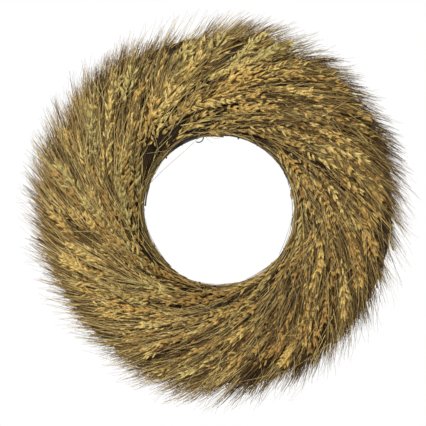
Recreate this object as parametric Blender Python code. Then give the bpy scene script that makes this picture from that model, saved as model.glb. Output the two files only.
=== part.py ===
"""A wheat door wreath: a wire ring frame, wheat bunches tied round it, and a loose hanging hook.

The wreath stands upright in the XZ plane. Its front faces -Y, its back (the door side) faces +Y and
the hole runs along Y. Angles are clockwise from the top, as seen from the front. The origin is the
centre of the rings, halfway through the wreath's depth. Units are metres.
"""

import math

import bmesh
import bpy
from mathutils import Matrix, Vector
from mathutils.geometry import interpolate_bezier

# Wire frame
INNER_RING_RADIUS = 0.1105
RING_SPACING = 0.0225
RING_WIRE = 0.0032
RING_RAISE = 0.0120  # the two middle rings stand this far in front of the inner and outer rings
RING_SEGMENTS = 48
WIRE_SIDES = 8
BAR_COUNT = 6
BAR_WIRE = 0.0026
BAR_OVERHANG = 0.0035  # past the inner and outer rings
BAR_FIRST_ANGLE = math.radians(15.0)
BAR_LEVEL_LENGTH = 0.0030  # level stretch of a bar on each side of a ring, before it slopes

# Binding wire
TIE_WIRE = 0.0007
TIE_HEIGHT = 0.22  # share of a bunch's thickness that the wire holds down
TIE_STEP_ANGLE = math.radians(2.0)  # behind the frame, each turn enters and leaves this far apart
TIE_TURN_POINTS = 8

# Wheat bunches
STATION_COUNT = 12
WHEAT_OVERHANG = 0.0920  # how far the ears reach past the outer ring
WHEAT_FRONT = 0.0640  # front of the ears, ahead of the inner ring
WHEAT_BACK = 0.0100  # back of the outer ears, behind the inner ring
WHEAT_WAIST = 0.0180  # widest level of the wheat, ahead of the inner ring
INNER_COVER = 0.0007  # wheat that hides the binding wire at the inner edge
SKIN_FULLNESS = 2.4  # 2 is a half ellipse, more is squarer
BUNCH_OVERLAP = math.radians(24.0)  # each bunch's ears lie this far over the next bunch's stems
BUNCH_GAP = 0.0013  # on each side of the binding wire, where it lies between two bunches
ROW_GAP = 0.0012  # between the inner, front and outer bunches
STEM_SEAT = 0.0010  # between the rings and the stems that lie on them
RIM_BACK = 0.0080  # back edge of the outer rim, ahead of the inner ring
INNER_WALL_SHARE = 0.08  # of the front curve; below this the inner edge is a straight wall
INNER_ROW_SHARE = 0.36  # of the front curve, where the inner bunches meet the front ones
OUTER_ROW_SHARE = 0.62  # of the front curve, where the front bunches meet the outer ones
BUNCH_LENGTH_CUTS = 3
BUNCH_HEIGHT_CUTS = 1

# Hanging hook
HOOK_WIRE = 0.0016
HOOK_ANGLE = math.radians(-12.1)
EYE_PLAY = 0.0004  # radial, between the eye and the inner ring
EYE_START = math.radians(38.0)  # round the eye from its lowest point, going over the front
EYE_END = math.radians(318.0)
EYE_SEGMENTS = 14
BEND_RADIUS = 0.0070
HOOK_DROP = 0.0079  # from the ring's axis down to the lowest point of the bend
BEND_START = math.radians(35.0)
BEND_END = math.radians(130.0)
BEND_SEGMENTS = 8
NECK_HANDLE = 0.0013
NECK_SEGMENTS = 5
EYE_ROOM = 0.0007  # between the eye and the stems in front of it

TOUCH_GAP = 0.0003  # between two pieces that rest on each other

# Worked out from the sizes above
ring_radii = [INNER_RING_RADIUS + i * RING_SPACING for i in range(4)]
ring_raises = [0.0, RING_RAISE, RING_RAISE, 0.0]
frame_y = (WHEAT_FRONT - WHEAT_BACK) / 2
half_ring = RING_WIRE / 2
half_tie = TIE_WIRE / 2
tie_reach = half_ring + TOUCH_GAP + half_tie
tie_inner_radius = ring_radii[0] - tie_reach
tie_outer_radius = ring_radii[3] + tie_reach
inner_edge = tie_inner_radius - half_tie - INNER_COVER
outer_edge = ring_radii[3] + WHEAT_OVERHANG
eye_radius = half_ring + EYE_PLAY + HOOK_WIRE / 2
eye_reach = eye_radius + HOOK_WIRE / 2 + EYE_ROOM
stem_seat = half_ring + STEM_SEAT


def skin_point(share):
    """A point (radius, y) of the skin, from the inner edge (share 0) over the front to the outer edge (1)."""
    middle = (inner_edge + outer_edge) / 2
    half_width = (outer_edge - inner_edge) / 2
    rise = WHEAT_FRONT - WHEAT_WAIST
    turn = math.pi * share
    across = math.copysign(abs(math.cos(turn)) ** (2 / SKIN_FULLNESS), math.cos(turn))
    ahead = max(math.sin(turn), 0.0) ** (2 / SKIN_FULLNESS)
    return (middle - half_width * across, -WHEAT_WAIST - rise * ahead)


# The gap between two bunches leans over along the ring, most at the low wall of the inner edge, so
# along the ring it is longer than it is square to its sides.
inner_wall_height = -skin_point(INNER_WALL_SHARE)[1] - eye_reach
gap_lean = math.hypot(1.0, BUNCH_OVERLAP * inner_edge / inner_wall_height)
gap_along_ring = (TIE_WIRE + 2 * BUNCH_GAP) * gap_lean


def clear_scene():
    for obj in list(bpy.data.objects):
        bpy.data.objects.remove(obj, do_unlink=True)


def make_material(name, colour, roughness, metallic):
    material = bpy.data.materials.new(name)
    material.use_nodes = True
    shader = material.node_tree.nodes["Principled BSDF"]
    shader.inputs["Base Color"].default_value = (*colour, 1.0)
    shader.inputs["Roughness"].default_value = roughness
    shader.inputs["Metallic"].default_value = metallic
    return material


def make_collection(name):
    collection = bpy.data.collections.new(name)
    bpy.context.scene.collection.children.link(collection)
    return collection


def make_empty(name, collection, parent=None, location=(0, 0, 0), angle=0.0):
    empty = bpy.data.objects.new(name, None)
    empty.empty_display_size = 0.02
    collection.objects.link(empty)
    empty.parent = parent
    empty.location = location
    empty.rotation_euler = (0, angle, 0)
    return empty


def place(name, data, material, collection, parent, angle=0.0):
    if not data.materials:
        data.materials.append(material)
    obj = bpy.data.objects.new(name, data)
    collection.objects.link(obj)
    obj.parent = parent
    obj.rotation_euler = (0, angle, 0)
    return obj


def wire_curve(name, points, diameter):
    """A round wire through the points, with closed ends."""
    curve = bpy.data.curves.new(name, "CURVE")
    curve.dimensions = "3D"
    curve.bevel_depth = diameter / 2
    curve.bevel_resolution = 2
    curve.use_fill_caps = True
    spline = curve.splines.new("POLY")
    spline.points.add(len(points) - 1)
    for spline_point, point in zip(spline.points, points):
        spline_point.co = (*point, 1.0)
    return curve


def polar(radius, y, angle):
    return Vector((radius * math.sin(angle), y, radius * math.cos(angle)))


# Frame


def make_rings(material, collection, parent):
    for i, (radius, raised) in enumerate(zip(ring_radii, ring_raises)):
        bpy.ops.mesh.primitive_torus_add(
            major_radius=radius,
            minor_radius=half_ring,
            major_segments=RING_SEGMENTS,
            minor_segments=WIRE_SIDES,
            rotation=(math.pi / 2, 0, 0),
        )
        ring = bpy.context.object
        for owner in list(ring.users_collection):
            owner.objects.unlink(ring)
        collection.objects.link(ring)
        ring.name = f"frame_ring_{i + 1}"
        ring.data.name = ring.name
        ring.data.materials.append(material)
        ring.data.shade_smooth()
        ring.parent = parent
        ring.location = (0, -raised, 0)


def bar_points():
    """One crossbar, in the plane of its own radius: behind the rings, and arched under the middle two."""
    behind = half_ring + TOUCH_GAP + BAR_WIRE / 2
    level = BAR_LEVEL_LENGTH
    stations = [
        (ring_radii[0] - BAR_OVERHANG, 0.0),
        (ring_radii[0] + level, 0.0),
        (ring_radii[1] - level, RING_RAISE),
        (ring_radii[2] + level, RING_RAISE),
        (ring_radii[3] - level, 0.0),
        (ring_radii[3] + BAR_OVERHANG, 0.0),
    ]
    return [Vector((0, behind - raised, radius)) for radius, raised in stations]


def make_bars(material, collection, parent):
    curve = wire_curve("crossbar", bar_points(), BAR_WIRE)
    for i in range(BAR_COUNT):
        angle = BAR_FIRST_ANGLE + i * math.tau / BAR_COUNT
        place(f"frame_crossbar_{i + 1}", curve, material, collection, parent, angle)


# Wheat bunches. A section across the wreath is a row of straight lines, each from a point on the stems'
# bed to a point on the wheat's skin. Every point in the wheat has a place along that row and a height
# from 0, the bed, to 1, the skin.


def spread(low, high, count):
    return [low + (high - low) * i / count for i in range(count + 1)]


def section_rows():
    """For the inner, front and outer bunches, their lines as (bed point, skin point) pairs."""
    raised_bed = -RING_RAISE - stem_seat
    eye_side = ring_radii[0] + eye_reach
    slope_middle = ((eye_side + ring_radii[1]) / 2, (raised_bed - eye_reach) / 2)
    inner_bed = [(inner_edge, -eye_reach), (eye_side, -eye_reach), slope_middle, (ring_radii[1], raised_bed)]
    front_bed = [(radius, raised_bed) for radius in spread(ring_radii[1], ring_radii[2], 3)]
    outer_bed = [
        (ring_radii[2], raised_bed),
        (ring_radii[3], -stem_seat),
        (tie_outer_radius, -stem_seat),
        ((ring_radii[3] + outer_edge) / 2, WHEAT_BACK),
        (outer_edge, -RIM_BACK),
    ]
    edges = [INNER_WALL_SHARE, INNER_ROW_SHARE, OUTER_ROW_SHARE, 1.0]
    rows = []
    for bed, low, high in zip([inner_bed, front_bed, outer_bed], edges, edges[1:]):
        skin = [skin_point(share) for share in spread(low, high, len(bed) - 1)]
        rows.append(list(zip(bed, skin)))
    return rows


def along_line(line, height):
    (bed_radius, bed_y), (skin_radius, skin_y) = line
    return (bed_radius + (skin_radius - bed_radius) * height, bed_y + (skin_y - bed_y) * height)


def on_row(row, place_in_row, height):
    """The (radius, y) point at a place from 0 to 1 across one row of lines."""
    step = place_in_row * (len(row) - 1)
    index = min(int(step), len(row) - 2)
    low = Vector(along_line(row[index], height))
    high = Vector(along_line(row[index + 1], height))
    return low.lerp(high, step - index)


def bunch_point(row, side_gaps, along, across, height):
    """A bunch's corner-to-corner block (along the ring, across it, up from the bed), bent to its place."""
    radius, y = on_row(row, across, height)
    radius += side_gaps[0] * (1 - across) - side_gaps[1] * across
    end_gap = gap_along_ring / 2 / radius
    length = math.tau / STATION_COUNT - 2 * end_gap
    return polar(radius, y, end_gap + length * along + BUNCH_OVERLAP * height)


def cut_along(mesh, axis, cuts):
    """Cut a block into equal slices along one of its axes."""
    if cuts < 1:
        return
    edges = [e for e in mesh.edges if abs((e.verts[0].co - e.verts[1].co)[axis]) > 0.01]
    bmesh.ops.subdivide_edges(mesh, edges=edges, cuts=cuts, use_grid_fill=True)


def bunch_mesh(name, row, side_gaps):
    mesh = bmesh.new()
    bmesh.ops.create_cube(mesh, size=1.0)
    cut_along(mesh, 0, BUNCH_LENGTH_CUTS)
    cut_along(mesh, 1, len(row) - 2)
    cut_along(mesh, 2, BUNCH_HEIGHT_CUTS)
    for vert in mesh.verts:
        vert.co = bunch_point(row, side_gaps, *(vert.co + Vector((0.5, 0.5, 0.5))))
    bmesh.ops.recalc_face_normals(mesh, faces=mesh.faces)
    data = bpy.data.meshes.new(name)
    mesh.to_mesh(data)
    mesh.free()
    return data


def make_bunches(materials, collection, parent):
    rows = section_rows()
    half_gap = ROW_GAP / 2
    gaps = [(0.0, half_gap), (half_gap, half_gap), (half_gap, 0.0)]
    for row_name, row, side_gaps, material in zip(("inner", "front", "outer"), rows, gaps, materials):
        data = bunch_mesh(f"wheat_{row_name}", row, side_gaps)
        for i in range(STATION_COUNT):
            angle = i * math.tau / STATION_COUNT
            place(f"wheat_{row_name}_{i + 1:02d}", data, material, collection, parent, angle)


# Binding wire


def between_bunches(row, across, height):
    """A point of the slanted gap between two bunches, whose sides run straight from the bed to their first cut."""
    first_cut = 1 / (BUNCH_HEIGHT_CUTS + 1)
    low = polar(*on_row(row, across, 0.0), 0.0)
    high = polar(*on_row(row, across, first_cut), BUNCH_OVERLAP * first_cut)
    return low.lerp(high, height / first_cut)


def tie_turn():
    """One turn of wire: up past the outer ring, over the stems, down at the inner ring and back behind."""
    rows = section_rows()
    behind = half_ring + TOUCH_GAP + half_tie
    middle_radius = (ring_radii[1] + ring_radii[2]) / 2
    inner_place = (tie_inner_radius - inner_edge) / (ring_radii[0] + eye_reach - inner_edge)
    inner_end = inner_place / (len(rows[0]) - 1)
    outer_end = 2.0 + 2.0 / (len(rows[2]) - 1)
    turn = [
        polar(middle_radius, behind, -TIE_STEP_ANGLE),
        polar(tie_outer_radius, behind, -TIE_STEP_ANGLE / 3),
    ]
    for share in spread(0.0, 1.0, TIE_TURN_POINTS - 1):
        ease = (1 - math.cos(math.pi * share)) / 2
        height = TIE_HEIGHT * math.sin(math.pi * share) ** 0.6
        spot = outer_end + (inner_end - outer_end) * ease
        row_index = min(int(spot), 2)
        turn.append(between_bunches(rows[row_index], spot - row_index, height))
    turn.append(polar(tie_inner_radius, behind, TIE_STEP_ANGLE / 3))
    turn.append(polar(middle_radius, behind, TIE_STEP_ANGLE))
    return turn


def make_binding_wire(material, collection, parent):
    turn = tie_turn()
    points = []
    for i in range(STATION_COUNT):
        to_station = Matrix.Rotation(i * math.tau / STATION_COUNT, 3, "Y")
        points += [to_station @ point for point in turn]
    place("binding_wire", wire_curve("binding_wire", points, TIE_WIRE), material, collection, parent)


# Hanging hook. In its own space the ring runs along X, the hook hangs down -Z and Y is the wreath's Y.


def eye_point(turn):
    return Vector((0, -eye_radius * math.sin(turn), -eye_radius * math.cos(turn)))


def bend_point(turn):
    centre = Vector((-BEND_RADIUS, 0, BEND_RADIUS - HOOK_DROP))
    return centre + Vector((BEND_RADIUS * math.cos(turn), 0, -BEND_RADIUS * math.sin(turn)))


def hook_points():
    eye = [eye_point(turn) for turn in spread(EYE_START, EYE_END, EYE_SEGMENTS)]
    bend = [bend_point(turn) for turn in spread(BEND_START, BEND_END, BEND_SEGMENTS)]
    out_of_eye = Vector((0, -math.cos(EYE_END), math.sin(EYE_END))) * NECK_HANDLE
    into_bend = Vector((-math.sin(BEND_START), 0, -math.cos(BEND_START))) * NECK_HANDLE
    neck = interpolate_bezier(eye[-1], eye[-1] + out_of_eye, bend[0] - into_bend, bend[0], NECK_SEGMENTS + 1)
    return eye + neck[1:-1] + bend


def make_hook(material, collection, parent):
    axis = polar(ring_radii[0], 0, HOOK_ANGLE)
    hinge = make_empty("hook_hinge", collection, parent, axis, HOOK_ANGLE)
    place("hanging_hook", wire_curve("hanging_hook", hook_points(), HOOK_WIRE), material, collection, hinge)


def main():
    clear_scene()
    collection = make_collection("wheat_wreath")
    datum = make_empty("frame_datum", collection, location=(0, frame_y, 0))
    black_wire = make_material("black_wire", (0.012, 0.012, 0.014), 0.45, 0.8)
    dark_wire = make_material("dark_wire", (0.025, 0.030, 0.035), 0.40, 0.9)
    golden = make_material("golden_wheat", (0.52, 0.34, 0.11), 0.75, 0.0)
    tan = make_material("tan_wheat", (0.42, 0.29, 0.12), 0.80, 0.0)
    olive = make_material("olive_wheat", (0.31, 0.23, 0.10), 0.85, 0.0)
    make_rings(black_wire, collection, datum)
    make_bars(black_wire, collection, datum)
    make_bunches((golden, tan, olive), collection, datum)
    make_binding_wire(dark_wire, collection, datum)
    make_hook(dark_wire, collection, datum)


main()
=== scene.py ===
# Harvest door wreath: bearded wheat bound in three rows on a wire frame, with a loose hanging hook.
import math

import bpy
import numpy as np
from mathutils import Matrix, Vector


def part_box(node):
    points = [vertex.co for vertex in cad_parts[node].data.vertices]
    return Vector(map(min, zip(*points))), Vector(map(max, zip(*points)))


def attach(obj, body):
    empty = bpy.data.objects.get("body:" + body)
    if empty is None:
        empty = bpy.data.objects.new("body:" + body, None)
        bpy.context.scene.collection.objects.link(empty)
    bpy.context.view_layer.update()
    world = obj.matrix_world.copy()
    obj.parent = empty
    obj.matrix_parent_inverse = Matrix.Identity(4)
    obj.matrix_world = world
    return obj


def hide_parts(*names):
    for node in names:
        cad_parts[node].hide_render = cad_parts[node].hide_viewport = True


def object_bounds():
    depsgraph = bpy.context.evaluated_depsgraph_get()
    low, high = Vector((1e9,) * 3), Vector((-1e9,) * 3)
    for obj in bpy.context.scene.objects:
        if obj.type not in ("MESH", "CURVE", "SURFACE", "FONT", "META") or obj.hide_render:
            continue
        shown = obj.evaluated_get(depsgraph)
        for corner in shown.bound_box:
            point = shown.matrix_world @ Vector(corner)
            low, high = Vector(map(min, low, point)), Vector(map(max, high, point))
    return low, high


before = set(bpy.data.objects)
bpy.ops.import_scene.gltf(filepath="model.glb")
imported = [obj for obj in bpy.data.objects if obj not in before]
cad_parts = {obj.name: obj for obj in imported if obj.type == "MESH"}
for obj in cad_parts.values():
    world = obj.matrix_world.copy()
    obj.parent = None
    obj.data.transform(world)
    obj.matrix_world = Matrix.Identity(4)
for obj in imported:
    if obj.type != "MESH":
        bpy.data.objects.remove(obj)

cadBox = [[float(v) for v in corner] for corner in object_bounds()]
scene = bpy.context.scene
print("frame loaded")


def putObject(name, data):
    made = bpy.data.objects.new(name, data)
    scene.collection.objects.link(made)
    return made



wreathForm = {
    "seed": 41,
    "pastFirstRing": 0.0011,   # how far the wheat stands into the hole past the first ring
    "edgeSlack": 0.0008,       # and how much further a single strand may
    "frontFall": 0.0285,       # how far the front drops back by the rim
    "innerFall": 0.046,        # and by the hole
    "rounding": (2.6, 2.4),    # how late it drops, towards the rim and towards the hole
    "backRadius": (0.118, 0.128, 0.165, 0.186, 0.215),
    "backDepth": (0.022, 0.020, 0.0118, 0.0118, 0.022, 0.033, 0.030, 0.024),   # from the hole to past the rim
    "proud": (0.0085, 0.006),  # how far strands may stand out in front and behind
    "tipReach": 0.0232,        # how far past the rim the longest beards are let grow
    "farthest": 0.0250,        # and where every strand stops at the latest
    "leastShare": 0.22,        # of its length that a strand keeps when it is cut short
    "lean": (3, 13, 27, 36, 40),   # degrees outward, at these shares of the way from the hole to the rim
    "leanSteps": (0, 0.2, 0.45, 0.7, 1.0),
    "leanSwing": (0.90, 0.68, 0.86, 0.90, 0.86, 1.02, 1.22, 1.05, 0.90),   # times this, by eighths of a turn
    # millimetres that the rim and the hole's edge stand out or in, each 15 degrees clockwise from the top
    "rimSwing": (14, 17, 13, 8, 0, -7, -12, -10, -8, -5, -2, 4,
                 5, -4, -15, -13, -9, -3, 2, 3, 2, 0, -2, 1),
    "holeSwing": (-1, 1, 1.4, 1.6, 1.2, -0.6, -1.4, -0.6, 0.6, -0.2, -0.8, -0.8,
                  -0.6, -0.8, -1.2, -3.0, -2.6, -0.8, 0.4, 0.4, -0.4, 0.2, 1.4, -0.4),
}

# where the last bunch's beards end over the first bunch's feet: radius in metres, degrees from the top
seam = {
    "radius": (0.150, 0.182, 0.197, 0.222, 0.235, 0.267, 0.285),
    "degrees": (-52, -43, -35, -27.5, -23.3, -17.8, -14),
    "span": 60,            # degrees on either side that it counts for
    "looseDegrees": 52,    # the wheat is looser for so far beyond it
    "looseRadius": (0.122, 0.218),
    "fade": (0.010, 0.014),
}

# the wreath's own measures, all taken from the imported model
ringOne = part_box("frame_ring_1")
holeRadius = ringOne[1].x - (ringOne[1].y - ringOne[0].y) - wreathForm["pastFirstRing"]
rimRadius = cadBox[1][2]
middleRadius = (holeRadius + rimRadius) / 2
halfWidth = (rimRadius - holeRadius) / 2
frontDepth, backDepth = cadBox[0][1], cadBox[1][1]
sectorCount = sum(1 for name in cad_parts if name.startswith("wheat_front_"))
sector = 2 * math.pi / sectorCount


def swingAt(key, angle):
    values = wreathForm[key]
    values = values + values[:1]
    return np.interp(np.degrees(angle) % 360, np.arange(len(values)) * 15, values) / 1000


def smoothStep(value):
    value = np.clip(value, 0, 1)
    return value * value * (3 - 2 * value)


def pastSeam(place, radius):
    # degrees beyond the seam, clockwise, and negative before it
    degrees = np.degrees(np.arctan2(place[..., 0], place[..., 1]))
    return degrees - np.interp(radius, seam["radius"], seam["degrees"])


def looseness(place):
    # 1 in the middle of the looser wheat after the seam, 0 away from it
    radius = np.linalg.norm(place, axis=-1)
    past = pastSeam(place, radius)
    (low, high), (fadeIn, fadeOut) = seam["looseRadius"], seam["fade"]
    inside = smoothStep((radius - low + fadeIn) / fadeIn) * smoothStep((high + fadeOut - radius) / fadeOut)
    return inside * smoothStep((past + 1) / 3) * smoothStep((seam["looseDegrees"] - past) / 12)


def frontAt(radius):
    across = (radius - middleRadius) / halfWidth
    outer = np.clip(across, 0, 1.35)
    inner = np.clip(-across, 0, 1)
    towardsRim, towardsHole = wreathForm["rounding"]
    drop = wreathForm["frontFall"] * outer ** towardsRim
    drop = drop + wreathForm["innerFall"] * (1 - (1 - inner ** towardsHole) ** (1 / towardsHole))
    return frontDepth + drop


def backAt(radius):
    knots = [holeRadius, *wreathForm["backRadius"], rimRadius, rimRadius + 0.03]
    return np.interp(radius, knots, wreathForm["backDepth"])


def depthAt(radius, layer, sink):
    # layer 0 is the front skin, 1 the back; sink goes inward from either
    base = (1 - layer) * frontAt(radius) + layer * backAt(radius)
    return base + sink * (1 - 2 * layer)


def flowAngle(place):
    # how far outward the wheat leans at a place, and the place's radius
    radius = np.hypot(place[:, 0], place[:, 1])
    angle = np.degrees(np.arctan2(place[:, 0], place[:, 1])) % 360
    across = (radius - holeRadius) / (rimRadius - holeRadius)
    lean = np.interp(across, wreathForm["leanSteps"], wreathForm["lean"])
    swing = np.interp(angle, np.arange(9) * 45, wreathForm["leanSwing"])
    return np.radians(lean * swing), radius


def outwardOnward(place, radius):
    # directions away from the middle and clockwise round it
    outward = place / radius[:, None]
    return outward, np.stack([outward[:, 1], -outward[:, 0]], 1)


def flowDirection(place, offset):
    lean, radius = flowAngle(place)
    lean = lean + offset
    outward, onward = outwardOnward(place, radius)
    return np.cos(lean)[:, None] * onward + np.sin(lean)[:, None] * outward


def polarPlace(angle, radius):
    return np.stack([radius * np.sin(angle), radius * np.cos(angle)], 1)


def growStrands(place, offset, length, count, follow, curl, layer, sinkStart, sinkEnd, backward=False, clear=0.0):
    # walks each strand along the lie of the wheat and lays it on its own layer
    sign = -1 if backward else 1
    heading = flowDirection(place, offset) * sign
    step = (length / (count - 1))[:, None]
    track = [place]
    for index in range(1, count):
        wish = flowDirection(place, offset + curl * index / count) * sign
        heading = heading + follow * (wish - heading)
        heading = heading / np.linalg.norm(heading, axis=1, keepdims=True)
        place = place + heading * step
        track.append(place)
    track = np.stack(track, 1)
    radius = np.linalg.norm(track, axis=2)
    # nothing ends in the hole or too far past the rim
    edge = holeRadius + swingAt("holeSwing", np.arctan2(track[:, :, 0], track[:, :, 1])) - wreathForm["edgeSlack"]
    pushed = np.minimum(np.maximum(radius, edge + clear), rimRadius + wreathForm["farthest"])
    track = track * (pushed / radius)[:, :, None]
    along = np.linspace(0, 1, count)[None, :]
    sink = sinkStart[:, None] * (1 - along) + sinkEnd[:, None] * along
    inFront, behind = wreathForm["proud"]
    depth = np.clip(depthAt(pushed, layer[:, None], sink), frontDepth - inFront, backDepth + behind)
    return np.stack([track[:, :, 0], depth, track[:, :, 1]], 2)


def growWithin(limit, place, offset, length, *rest, slack=None, overSeam=False, **named):
    # as growStrands, with strands that would pass the limit radius or the seam cut shorter
    points = growStrands(place, offset, length, *rest, **named)
    layer = rest[3]
    flat = points[:, :, [0, 2]]
    reach = np.linalg.norm(flat, axis=2)
    stop = reach > np.reshape(limit, (-1, 1))
    if not overSeam:
        past = pastSeam(flat, reach)
        before = (past[:, 0] < 0) & (past[:, 0] > -seam["span"]) & (layer < 0.5)
        slack = 0 if slack is None else slack[:, None]
        stop = stop | before[:, None] & (past > slack) & (past < seam["span"])
    last = points.shape[1] - 1
    first = np.where(stop.any(1), stop.argmax(1), last)
    share = np.clip((first - 0.5 * stop.any(1)) / last, wreathForm["leastShare"], 1)
    return growStrands(place, offset, length * share, *rest, **named)


# the kinds of guide that the bunch tree tells apart
earKind, awnKind, stemKind, leafKind, bedKind = 0, 1, 2, 3, 4


class GuideSet:
    # the guides of one bunch, gathered into one mesh with what the tree reads at each point
    def __init__(self):
        self.points, self.edges, self.faces = [], [], []
        self.values = {"kind": [], "thick": [], "tone": [], "roll": [], "size": []}
        self.vectors = {"lift": [], "bedMap": []}
        self.total = 0

    def keep(self, points, *values, lift=(0.0, -1.0, 0.0), bedMap=(0.0, 0.0, 0.0)):
        self.points.append(points)
        for name, value in zip(self.values, values):
            self.values[name].append(np.broadcast_to(value, len(points)))
        for name, value in (("lift", lift), ("bedMap", bedMap)):
            self.vectors[name].append(np.broadcast_to(value, (len(points), 3)))
        self.total += len(points)

    def add(self, kind, points, thick, tone, roll=0.0, size=1.0, **named):
        strands, count = points.shape[:2]
        index = np.arange(strands * count).reshape(strands, count) + self.total
        self.edges.append(np.stack([index[:, :-1].ravel(), index[:, 1:].ravel()], 1))
        thick = np.broadcast_to(thick, (strands, count)).ravel()
        each = [np.repeat(np.broadcast_to(v, strands), count) for v in (tone, roll, size)]
        self.keep(points.reshape(-1, 3), kind, thick, *each, **named)

    def addBed(self, points, faces, bedMap):
        self.faces += [[i + self.total for i in face] for face in faces]
        self.keep(points, bedKind, 0.0, 0.5, 0.0, 1.0, bedMap=bedMap)

    def makeMesh(self, name):
        mesh = bpy.data.meshes.new(name)
        mesh.from_pydata(np.concatenate(self.points).tolist(), np.concatenate(self.edges).tolist(), self.faces)
        for kept, kind, field in ((self.values, "FLOAT", "value"), (self.vectors, "FLOAT_VECTOR", "vector")):
            for key, parts in kept.items():
                data = mesh.attributes.new(key, kind, "POINT").data
                data.foreach_set(field, np.concatenate(parts).astype(np.float32).ravel())
        return mesh


def linear(red, green, blue):
    parts = []
    for value in (red, green, blue):
        value = value / 255
        parts.append(value / 12.92 if value <= 0.04045 else ((value + 0.055) / 1.055) ** 2.4)
    return (*parts, 1.0)


def feed(tree, node, inputs):
    # sets or links a node's inputs, by name or number
    for key, value in dict(inputs).items():
        if isinstance(value, bpy.types.NodeSocket):
            tree.links.new(value, node.inputs[key])
        else:
            node.inputs[key].default_value = value


def addNode(tree, kind, inputs=(), output=0, **settings):
    # adds a node and gives one of its outputs
    made = tree.nodes.new(kind)
    for key, value in settings.items():
        setattr(made, key, value)
    feed(tree, made, inputs)
    return made.outputs[output] if len(made.outputs) else None


def mathNode(tree, operation, *values):
    return addNode(tree, "ShaderNodeMath", enumerate(values), operation=operation)


def rampNode(tree, source, stops):
    made = tree.nodes.new("ShaderNodeValToRGB")
    elements = made.color_ramp.elements
    while len(elements) > 1:
        elements.remove(elements[-1])
    for index, (place, colour) in enumerate(stops):
        element = elements[0] if index == 0 else elements.new(place)
        element.position = place
        element.color = colour if len(colour) == 4 else (*colour, 1)
    tree.links.new(source, made.inputs[0])
    return made.outputs[0]


def mixColour(tree, blend, factor, first, second):
    inputs = {0: factor, 6: first, 7: second}
    return addNode(tree, "ShaderNodeMix", inputs, 2, data_type="RGBA", blend_type=blend)


def noiseNode(tree, place, scale, detail):
    return addNode(tree, "ShaderNodeTexNoise", {"Scale": scale, "Detail": detail, "Vector": place})


def startMaterial(name):
    material = bpy.data.materials.new(name)
    material.use_nodes = True
    return material, material.node_tree, material.node_tree.nodes["Principled BSDF"]


def roughen(tree, shader, grain, least, more, strength, distance):
    # one grain drives both the roughness and the bump
    bump = addNode(tree, "ShaderNodeBump", {"Strength": strength, "Distance": distance, "Height": grain})
    feed(tree, shader, {"Roughness": mathNode(tree, "MULTIPLY_ADD", grain, more, least), "Normal": bump})


# the map's height says what a face belongs to: beards, husks, stems or the straw bed
bands = {"awn": (0.0, 0.36), "husk": (0.38, 0.66), "stem": (0.68, 0.80), "bed": (0.82, 0.995)}

wheatFinish = {
    # shades from the brown to the greenish end of each band
    "awn": ((56, 38, 19), (122, 92, 54), (180, 148, 98), (224, 198, 144), (202, 184, 132), (146, 132, 90)),
    "husk": ((152, 116, 68), (184, 146, 88), (198, 164, 100), (222, 194, 132), (194, 176, 122), (160, 149, 106)),
    "stem": ((168, 138, 82), (202, 172, 106), (186, 170, 112), (214, 196, 138)),
    # the bed's shades are painted shade for the gaps: near black along its front and a lighter brown behind
    "bed": ((34, 23, 11), (48, 33, 16), (62, 45, 24), (104, 78, 44)),
    # each row's copy of the finish is darkened by this much, painted shade that is deepest on the inner row by the
    # hole
    "paintedShadeGain": {"inner": 0.92, "front": 1.0, "outer": 0.99},
    "blueGain": 0.91,
    # husks are darkened at their feet, where they tuck in, as painted shade, and have pale dry tips; beards fade to
    # brown tips
    "alongHuskShadeAndTips": ((0.0, (0.32, 0.29, 0.24)), (0.25, (0.76, 0.75, 0.72)), (0.6, (1.0, 1.0, 1.0)),
                  (0.9, (1.06, 1.06, 1.02)), (1.0, (1.0, 0.96, 0.85))),
    "alongBeard": ((0.0, (0.86, 0.86, 0.84)), (0.3, (1.0, 1.0, 1.0)), (0.75, (0.94, 0.90, 0.86)),
                   (1.0, (0.78, 0.70, 0.62))),
    "streaks": ((0.30, (0.42, 0.37, 0.30)), (0.5, (1, 1, 1)), (0.72, (1.32, 1.32, 1.27))),
    "streakScale": (5, 420, 1),
    "rough": (0.42, 0.25, 0.35, 0.0004),   # least, how much the streaks add, bump, its depth
    "gloss": 0.22,
}


def makeWheatMaterial(name, paintedShadeGain):
    form = wheatFinish
    material, tree, shader = startMaterial(name)
    uv = addNode(tree, "ShaderNodeUVMap", uv_map="OFBake")
    along, tone = [addNode(tree, "ShaderNodeSeparateXYZ", {0: uv}, output) for output in (0, 1)]
    stops = []
    for kind, (low, high) in bands.items():
        for index, (red, green, blue) in enumerate(form[kind]):
            place = low + (high - low) * index / (len(form[kind]) - 1)
            stops.append((place, linear(red * paintedShadeGain, green * paintedShadeGain, blue * paintedShadeGain * form["blueGain"])))
    base = rampNode(tree, tone, stops)
    no, yes = (0, 0, 0), (1, 1, 1)
    isHusk = rampNode(tree, tone, [(0.369, no), (0.371, yes), (0.669, yes), (0.671, no)])
    # the husks' ramp darkens their tucked-in feet as painted shade
    alongHuskShadeAndTips, alongBeard = rampNode(tree, along, form["alongHuskShadeAndTips"]), rampNode(tree, along, form["alongBeard"])
    lengthTintAndShade = mixColour(tree, "MIX", isHusk, alongBeard, alongHuskShadeAndTips)
    colour = mixColour(tree, "MULTIPLY", 1.0, base, lengthTintAndShade)
    streak = addNode(tree, "ShaderNodeMapping", {"Scale": form["streakScale"], "Vector": uv})
    streak = noiseNode(tree, streak, 1.0, 2.0)
    colour = mixColour(tree, "MULTIPLY", 1.0, colour, rampNode(tree, streak, form["streaks"]))
    feed(tree, shader, {"Base Color": colour, "Specular IOR Level": form["gloss"]})
    roughen(tree, shader, streak, *form["rough"])
    return material


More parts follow.
